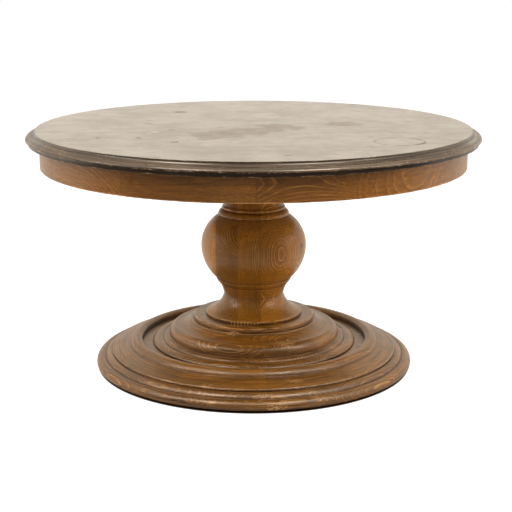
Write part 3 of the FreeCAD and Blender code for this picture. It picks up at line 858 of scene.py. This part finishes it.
# %% Stained wood
SCUFFS = [(22, -305, 24, 24, 10, 9), (43, -323, 10, 28, 9, 9), (-88, -276, 34, 18, 8, 6), (78, -262, 40, 22, 8, 6),
          (-78, -314, 14, 12, 7, 7), (16, -247, 47, 22, 6, 6), (-40, -118, 92, 20, 20, 6), (60, -150, 78, 24, 14, 8),
          (221, -48, 46, 9, 14, 6), (222, 34, 46, 9, 14, 6)]
KNOTS = [(220.7, 39.5, 45, 4, 9, 3), (217.2, -59.3, 45, 4, 9, 3), (139, -78.7, 80, 2.6, 2.6, 3),
         (-150, -291, 12, 17, 9, 2.6), (-139, -297, 14.5, 12, 7, 2.4), (-133, -299, 11, 10, 7, 2),
         (98, -45, 256, 5, 5, 7), (-53, -88, 268, 1.5, 1.5, 3)]
TICKED = [(-24, -95, 105, 46, 20, 4.5)]
TICK_TURN = 2 * math.pi / 0.0067         # one pale tick every 6.7 mm


def stained_wood(name, stain, summer_line, year, crest, lathe, rub=0.65, planks=None, joint=0.5,
                 tones=(0.9, 1.1), roughness=0.3, gloss=0.6):
    """Stained softwood. The planks width is given for a disc that has none as pieces of its own."""
    finish, tree, shader, place = new_finish(name)
    if planks:
        cut = use(tree, glued_planks, place=place, width=planks)
        grain, tone, seam = cut["Trunk"], cut["Tone"], cut["Seam"]
    else:
        grain, tone, seam = mark(tree, "grain", "Vector"), mark(tree, "tone"), mark(tree, "seam")
    rings = use(tree, wood_rings, trunk=grain, year=year, wander=0.008)
    wear = use(tree, rubbed_edges, place=place, arris=mark(tree, "arris"), crease=mark(tree, "crease"),
               seam=seam * joint, amount=rub)
    dents = use(tree, knocks, place=stretched(place, 55, 55, 80), share=0.08, radius=0.14)
    film = use(tree, wax_film, place=place, roughness=roughness, spread=0.22)
    frayed = rings["Fibre"] - 0.5
    scuffed = calc("MAXIMUM", cloud(place, 9.0) * 0.86, spots(place, SCUFFS, frayed * 2.0))
    scratched = use(tree, scratches, place=place, where=scuffed)["Mark"]
    dark_spots = calc("MAXIMUM", dents["Mark"], spots(place, KNOTS, frayed * 1.6))
    comb = rising(calc("SINE", parts(place)[0] * TICK_TURN), 0.2, 0.9)
    pale = calc("MAXIMUM", scratched, comb * spots(place, TICKED, 0.0))
    line = use(tree, lathe_lines, place=place)["Line"]
    streak = rising(rings["Fibre"], 0.3, 0.7, 0.66, 1.34) * rising(line, 0.32, 0.68, 1 - lathe, 1 + lathe)
    colour = layered(
        stain, (rising(rings["Drift"], 0.3, 0.7), darker(stain, 0.66, 0.65, 0.66)),
        (rings["Summer"] * crest, summer_line), (rings["Dark"] * (0.9 * crest), darker(stain, 0.35, 0.35, 0.35)))
    # the crease layer shade(30, 15, 5) is dirt and painted shade; the glue seams in it are real
    colour = layered(
        scaled(colour, streak * rising(tone, 0.0, 1.0, *tones)),
        (wear["Dirt"] * 0.9, shade(30, 15, 5)), (dark_spots * 0.85, shade(30, 17, 8)),
        (pale * 0.68, shade(200, 152, 98)), (wear["Rub"] * 0.55, shade(186, 136, 82)))
    lay_on(shader, colour, film["Roughness"], rings["Height"] + film["Height"] + dents["Pit"], strength=0.2)
    shader.inputs["Specular IOR Level"].default_value = gloss
    return finish


# %% The four batches of stain
apron_stain = stained_wood("apron_stained_wood", shade(117, 71, 14), shade(164, 111, 48), year=0.003,
                           crest=0.46, lathe=0.1, gloss=0.7)
column_stain = stained_wood("column_stained_wood", shade(137, 83, 11), shade(192, 136, 58), year=0.0029,
                            crest=0.95, lathe=0.08, joint=0.25, tones=(0.72, 1.28))
dome_stain = stained_wood("dome_stained_wood", shade(116, 71, 18), shade(170, 120, 58), year=0.0034,
                          crest=0.8, lathe=0.36, planks=0.09, joint=0.15, roughness=0.33, gloss=0.8)
ring_stain = stained_wood("ring_stained_wood", shade(115, 71, 17), shade(170, 121, 56), year=0.0034,
                          crest=0.62, lathe=0.42, rub=0.38, joint=0.12, tones=(0.92, 1.08), roughness=0.35, gloss=0.8)
print("stained finishes:", [m.name for m in (apron_stain, column_stain, dome_stain, ring_stain)])

# %% [markdown]
# ## The dark waxed top
#
# The top is waxed, smoky and nearly black on the moulding, with the fascia under the nose painted darker still as
# shade, and the moulding's steps darkened as dirt and painted shade. The flat is given a paler grey-brown, which
# partly paints in the pale look the wax takes from the white wall it mirrors. Seen low across the room it mirrors
# that wall and looks paler still. That is left to the shader: the stain's own colour, a clear wax coat and gloss
# that changes in long smears. On it lie a dull smear, dents, nibbled edges with pale wood showing, and one faint
# ring where a wet glass stood.

# %% Where the marks of the top lie
GLASS_RING, GLASS_RADIUS = (0.2735, -0.2088, 0.493), 0.047
MOULDED_FROM, MOULDED_TO = 0.4375, 0.4395                # metres from the axis: the flat ends, the moulding begins
DULL_PATCHES = [(-61, -108, 493, 90, 52, 8), (0, -56, 493, 70, 44, 8), (48, -10, 493, 48, 38, 8),
                (172, 30, 493, 48, 32, 8)]
CHIPS = [(-30.6, -215, 493, 9, 5, 3), (-193, -84, 493, 11, 6, 3), (-205, -100, 493, 7, 5, 3),
         (207, -293, 493, 6, 4, 3)]
FLECKED = [(-346, -280, 486, 32, 32, 9), (-268, -355, 490, 40, 32, 7), (3, -450, 480, 48, 16, 7),
           (-78, -446, 480, 32, 16, 7), (255, -365, 486, 36, 28, 9), (360, -262, 483, 28, 32, 9)]
BRUISES = [(-219, -164, 493, 7, 5, 3), (-146, -215, 493, 8, 5, 3), (-296, -165, 493, 6, 4, 3),
           (-162, 225, 493, 16, 9, 3)]
top_wax, tree, shader, place = new_finish("top_dark_waxed_wood")
rings = use(tree, wood_rings, trunk=mark(tree, "grain", "Vector"), year=0.0055, wander=0.02)
wear = use(tree, rubbed_edges, place=place, arris=mark(tree, "arris"), crease=mark(tree, "crease"),
           seam=mark(tree, "seam"), amount=0.36)
dents = use(tree, knocks, place=stretched(place, 18, 60, 60), share=0.1, radius=0.2)
wiped = cloud(stretched(place, 46, 34, 46), 1.0, 6.0)
mottle = cloud(stretched(place, 9, 8, 8), 1.0, 6.0) * 0.6 + wiped * 0.4
frayed = (cloud(place, 150.0, 3.0) - 0.5) * 3.0
dull = spots(place, DULL_PATCHES, (mottle - 0.5) * 6.5)
bruise = calc("MAXIMUM", dents["Mark"], spots(place, BRUISES, frayed))
off_ring = calc("ABSOLUTE", vector_calc("DISTANCE", place, {1: GLASS_RING}, "Value") - GLASS_RADIUS)
stain_ring = rising(off_ring, 0.0008, 0.004, 1.0, 0.0) * rising(wiped, 0.36, 0.58, 0.25, 0.85)
moulded = rising(length(stretched(place, 1, 1, 0)), MOULDED_FROM, MOULDED_TO)
# painted shade: the fascia under the moulding's nose is darkened as the shadow that lies there
fascia = moulded * rising(parts(place)[2], 0.4752, 0.4764, 1.0, 0.0)
flecks = use(tree, knocks, place=stretched(place, 170, 170, 260), share=0.42, radius=0.34)["Mark"]
clusters = calc("MAXIMUM", rising(cloud(place, 12.0, 3.0), 0.58, 0.7), spots(place, FLECKED, frayed))
bare = calc("MAXIMUM", wear["Rub"], flecks * (moulded * clusters))
print("marks of the top:", len(DULL_PATCHES + CHIPS + FLECKED + BRUISES), "spots and a ring")

# %% Dark waxed wood
combed = use(tree, lathe_lines, place=place)["Line"]
toned = rising(rings["Fibre"], 0.3, 0.7, 0.74, 1.26) * rising(mark(tree, "tone"), 0.0, 1.0, 0.93, 1.07)
# the moulding keeps the dark stain; the flat's paler base below partly paints in the wall's pale reflection
smoky = over(rising(combed, 0.36, 0.62), shade(34, 22, 13), shade(82, 61, 43))
colour = layered(
    shade(113, 98, 81), (rising(mottle, 0.38, 0.62), shade(92, 78, 62)),
    (rings["Summer"] * 0.42, shade(140, 122, 100)), (rings["Dark"] * 0.55, shade(58, 45, 33)))
# fascia * 0.8 is painted shade, and the crease layer is dirt and painted shade at the steps and the apron
colour = layered(
    scaled(colour, toned), (dull * 0.75, shade(84, 62, 42)), (moulded, smoky), (fascia * 0.8, shade(26, 16, 8)),
    (stain_ring * 0.85, shade(58, 44, 30)), (wear["Dirt"] * 0.8, shade(22, 16, 12)),
    (bruise * 0.75, shade(34, 25, 18)), (bare * 0.7, shade(178, 148, 110)),
    (spots(place, CHIPS, frayed) * 0.6, shade(204, 186, 158)))
spoilt = calc("MAXIMUM", stain_ring, bruise)
film = use(tree, wax_film, place=place, roughness=0.3, spread=0.3)
height = rings["Height"] + film["Height"] + dents["Pit"]
lay_on(shader, colour, film["Roughness"] + spoilt * 0.45, height, strength=0.1)
matt = calc("MAXIMUM", dull * 0.4, spoilt * 0.8)
matt = calc("MAXIMUM", matt, moulded * rising(combed, 0.4, 0.62, 0.7, 0.25))
feed(calc("MAXIMUM", rising(mottle, 0.4, 0.62, 0.7, 0.5) - matt, 0.0), shader.inputs["Coat Weight"])
shader.inputs["Specular IOR Level"].default_value = 0.5
shader.inputs["Coat Roughness"].default_value = 0.22
shader.inputs["Coat IOR"].default_value = 1.6
print("finish:", top_wax.name, len(tree.nodes), "nodes")

# %% [markdown]
# ## Hidden wood, steel and pads
#
# Nobody stains what is under a table: the bearers, the plate and the glue blocks are bare planed softwood.
# The screws, rod and nuts are zinc plated, a little dull, and the glides are hard grey-brown nylon. These parts
# keep their CAD shapes, so their finishes read the place alone.

# %% Finishes of the CAD parts
TRUNK_AWAY = (0.3, 0.06, -0.39)          # metres by which the bare boards lie off their trunk's middle


def bare_wood(name, turn):
    """Planed softwood, its trunk along x, or along y where it is turned by a right angle."""
    finish, tree, shader, place = new_finish(name)
    spun = value(tree, "Mapping", {"Vector": place, "Rotation": (0, 0, turn), "Location": TRUNK_AWAY})
    rings = use(tree, wood_rings, trunk=spun, year=0.0055, wander=0.02)
    film = use(tree, wax_film, place=place, roughness=0.62, spread=0.15)
    colour = over(rings["Summer"], shade(176, 138, 92), shade(140, 96, 54))
    colour = scaled(colour, rising(rings["Fibre"], 0.3, 0.7, 0.84, 1.1))
    lay_on(shader, colour, film["Roughness"], rings["Height"], strength=0.2)
    return finish


def brushed(name, light, dark, metal, roughness, scale):
    """Plated steel or hard nylon: two shades in small clouds, and an uneven gloss."""
    finish, tree, shader, place = new_finish(name)
    film = use(tree, wax_film, place=stretched(place, 6, 6, 6), roughness=roughness, spread=0.25)
    colour = over(rising(cloud(place, scale, 3.0), 0.35, 0.65), light, dark)
    lay_on(shader, colour, film["Roughness"], film["Height"], strength=0.3, depth=0.0003)
    shader.inputs["Metallic"].default_value = metal
    return finish


lengthwise = bare_wood("bare_softwood_lengthwise", 0.0)
crosswise = bare_wood("bare_softwood_crosswise", math.pi / 2)
zinc = brushed("zinc_plated_steel", shade(178, 178, 172), shade(138, 138, 134), 1.0, 0.38, 220.0)
pad = brushed("nylon_glide_pad", shade(96, 88, 78), shade(70, 64, 58), 0.0, 0.6, 300.0)
cad_finishes = {"apron_blocks": lengthwise, "bearer_side_to_side": lengthwise, "bearer_front_to_back": crosswise,
                "column_plate": lengthwise, "foot_dowels": crosswise, "tie_rod": zinc, "tie_nuts": zinc,
                "tie_washers": zinc, "bearer_screws": zinc, "plate_screws": zinc, "glides": pad}
print("CAD parts with new finishes:", len(cad_finishes))

# %% [markdown]
# ## Dressing the parts
#
# Every new piece takes the finish of its family, and the CAD parts that stay have their material slots filled
# again.

# %% Assign the finishes
families = [("top_board", top_wax, "top_wood"), ("apron_segment", apron_stain, "apron_wood"),
            ("column_board", column_stain, "column_wood"), ("ball_cheek", column_stain, "column_wood"),
            ("foot_cheek", column_stain, "column_wood"), ("dome", dome_stain, "base_wood"),
            ("base_board", dome_stain, "base_wood"), ("ring", ring_stain, "base_wood")]
for node, piece in made.items():
    finish, slot = next((finish, slot) for start, finish, slot in families if node.startswith(start))
    piece.data.materials.append(finish)
for node, finish in cad_finishes.items():
    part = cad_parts[node]
    for number in range(len(part.material_slots)):
        part.material_slots[number].material = finish
print("dressed:", len(made), "pieces and", len(cad_finishes), "CAD parts")

# %% [markdown]
# ## Studio
#
# The table stands on a white floor before a white wall, and the camera sees both as pure white. The wax mirrors
# them in other tones: the wall is warm, more so high up, and both fade towards the camera's side, as in a studio,
# so that the wood keeps its colour where it faces the camera. Light Path tells the two kinds of ray apart.

# %% The white wall
AMBIENT = 0.3            # how much soft light the wall gives
WALL_LOW, WALL_HIGH = (0.97, 0.92, 0.835, 1), (1.1, 0.96, 0.75, 1)       # its tint in the wax, low and high
WHITE = (1, 1, 1, 1)
scene = bpy.context.scene
scene.view_settings.view_transform = "Standard"
world = bpy.data.worlds.new("studio")
world.use_nodes = True
scene.world = world
tree = world.node_tree
tree.nodes.clear()


def seen_directly(tree):
    """1 for what the camera sees, also by reflection or through glass, and 0 for soft light."""
    path = outputs(put(tree, "LightPath"))
    seen = calc("MAXIMUM", path["Is Camera Ray"], path["Is Transmission Ray"])
    return calc("MAXIMUM", seen, path["Is Glossy Ray"]), path


seen, path = seen_directly(tree)
towards = parts(value(tree, "TexCoord", out="Generated"))
wall = rising(towards[1], -0.75, 0.1, 0.04, 1.0)
mirrored = path["Is Glossy Ray"] * (1.0 - path["Is Camera Ray"])
shown = mirrored * wall + (1.0 - mirrored)
strength = seen * shown + (1.0 - seen) * AMBIENT
paint = over(mirrored, WHITE, over(rising(towards[2], 0.16, 0.28), WALL_LOW, WALL_HIGH))
put(tree, "OutputWorld", {"Surface": value(tree, "Background", {"Color": paint, "Strength": strength})})
print("wall:", len(tree.nodes), "nodes")

# %% [markdown]
# ## The floor
#
# To the camera the floor glows white, with a painted dark contact shadow round the foot, and the table's soft
# shadow. To soft light it is plain pale paint that throws light back up. It is clear to the camera when seen from
# below, and to the rays that look for lamps, so that a lamp under it can light the table's underside.

# %% The white floor
FLOOR_RADIUS, FLOOR_SIDES = 9.0, 96
# painted contact shadow: inside this circle, set a little towards the front, the floor loses its glow and shows
# near-black paint
CONTACT_SHADOW_MIDDLE, CONTACT_SHADOW_EDGE, CONTACT_SHADOW_END = (0, -0.008, 0), 0.322, 0.3262       # metres: the dark line under the foot
PLAIN_PAINT = (0.92, 0.9, 0.87, 1)       # the floor to soft light
SHADOW_PAINT, CONTACT_SHADOW_PAINT = (0.27, 0.27, 0.27, 1), (0.03, 0.018, 0.01, 1)      # what takes shadow, and the dark line
FLOOR_TINT, FLOOR_GLOW = (1.0, 0.93, 0.815, 1), 0.96     # the tint of its glow in the wax, and how strong it is
turn = np.linspace(0, 2 * np.pi, FLOOR_SIDES, endpoint=False)
rim = np.stack([FLOOR_RADIUS * np.cos(turn), FLOOR_RADIUS * np.sin(turn), 0 * turn], axis=1)
floor_mesh = bpy.data.meshes.new("studio_floor")
floor_mesh.from_pydata(rim.tolist(), [], [list(range(FLOOR_SIDES))])
floor = bpy.data.objects.new("studio_floor", floor_mesh)
scene.collection.objects.link(floor)
floor_paint = bpy.data.materials.new("studio_floor_paint")
floor_paint.use_nodes = True
tree = floor_paint.node_tree
tree.nodes.clear()
seen, path = seen_directly(tree)
camera_ray = path["Is Camera Ray"]
floor_place = value(tree, "TexCoord", out="Object")
from_contact_shadow = vector_calc("DISTANCE", floor_place, {1: CONTACT_SHADOW_MIDDLE}, "Value")
swept = calc("MAXIMUM", camera_ray, rising(parts(floor_place)[1], -0.9, 0.3, 0.08, 1.0))
# under the foot the glow is taken away, for the painted contact shadow
swept = swept * rising(from_contact_shadow, CONTACT_SHADOW_EDGE, CONTACT_SHADOW_END)
plain = value(tree, "BsdfDiffuse", {"Color": PLAIN_PAINT})
glow = value(tree, "Emission", {"Color": over(camera_ray, FLOOR_TINT, WHITE), "Strength": swept * FLOOR_GLOW})
# there the camera sees the near-black paint: a painted shadow
grey = over(camera_ray * swept, CONTACT_SHADOW_PAINT, SHADOW_PAINT)
white = value(tree, "AddShader", {0: glow, 1: value(tree, "BsdfDiffuse", {"Color": grey})})
painted = value(tree, "MixShader", {0: seen, 1: plain, 2: white})
below = calc("MAXIMUM", camera_ray * value(tree, "NewGeometry", out="Backfacing"), path["Is Shadow Ray"])
clear = value(tree, "BsdfTransparent")
put(tree, "OutputMaterial", {"Surface": value(tree, "MixShader", {0: below, 1: painted, 2: clear})})
floor_mesh.materials.append(floor_paint)
print("floor:", len(tree.nodes), "nodes")

# %% [markdown]
# ## Lamps and camera
#
# Large soft lamps light the wood: a weak one in front, strong ones at both sides, and others above, behind and
# below. The shine on the wax comes from four lamps of its own, so that soft light and shine can each be set
# by itself. The camera stands where the photograph's did, with a long lens and a slight downward tilt.

# %% Lamps
LAMP_TARGET = 0.25       # metres above the floor, on the table's axis
SOFT_LAMPS = {           # azimuth from the front and elevation in degrees, distance, width and height in metres, watts
    "front_light": (-4, 39, 3.2, 2.0, 0.5, 32), "left_light": (-86, 25, 2.8, 1.8, 1.3, 50),
    "right_light": (80, 25, 2.8, 1.8, 1.3, 50), "top_light": (0, 90, 2.8, 2.4, 2.4, 48),
    "back_light": (180, 30, 3.2, 2.4, 1.6, 20), "under_light": (0, -90, 2.4, 2.4, 2.4, 14)}
SHINE_LAMPS = {
    "left_shine": (-72, 33, 2.8, 0.9, 0.7, 13), "right_shine": (64, 33, 2.8, 0.9, 0.7, 12),
    "high_left_shine": (-42, 52, 2.6, 0.9, 0.7, 34), "high_right_shine": (34, 52, 2.6, 0.9, 0.7, 34)}
SOFT_TINT, SHINE_TINT = (1.0, 0.975, 0.93), (1.0, 0.88, 0.72)


def hang_lamp(name, azimuth, elevation, distance, width, height, watts, shine):
    """A rectangular lamp that faces the middle of the table. It either lights the wood or only shines on the wax."""
    lamp = bpy.data.lights.new(name, "AREA")
    lamp.shape, lamp.size, lamp.size_y, lamp.energy = "RECTANGLE", width, height, watts
    lamp.color = SHINE_TINT if shine else SOFT_TINT
    box = bpy.data.objects.new(name, lamp)
    a, e = math.radians(azimuth), math.radians(elevation)
    box.location = (distance * math.sin(a) * math.cos(e), -distance * math.cos(a) * math.cos(e),
                    LAMP_TARGET + distance * math.sin(e))
    box.rotation_euler = (math.pi / 2 - e, 0, a)
    box.visible_camera, box.visible_glossy, box.visible_diffuse = False, shine, not shine
    scene.collection.objects.link(box)


for lamps, shine in ((SOFT_LAMPS, False), (SHINE_LAMPS, True)):
    for name, sizes in lamps.items():
        hang_lamp(name, *sizes, shine)
print("lamps:", len(SOFT_LAMPS), "soft,", len(SHINE_LAMPS), "for shine")

# %% Camera
SENSOR = 36.0            # mm
FOCAL_RATIO = 1304 / 512                 # focal length over picture width
CAMERA_TILT = 13.558     # degrees down from level
CAMERA_PLACE = (0.0048, -2.6278, 0.8563)                 # metres
lens = bpy.data.cameras.new("camera")
lens.sensor_width, lens.lens = SENSOR, SENSOR * FOCAL_RATIO
camera = bpy.data.objects.new("camera", lens)
camera.location = CAMERA_PLACE
camera.rotation_euler = (math.radians(90 - CAMERA_TILT), 0, 0)
scene.collection.objects.link(camera)
scene.camera = camera
print("camera lens:", lens.lens, "mm")

# %% Bring the scene up to date
bpy.context.view_layer.update()
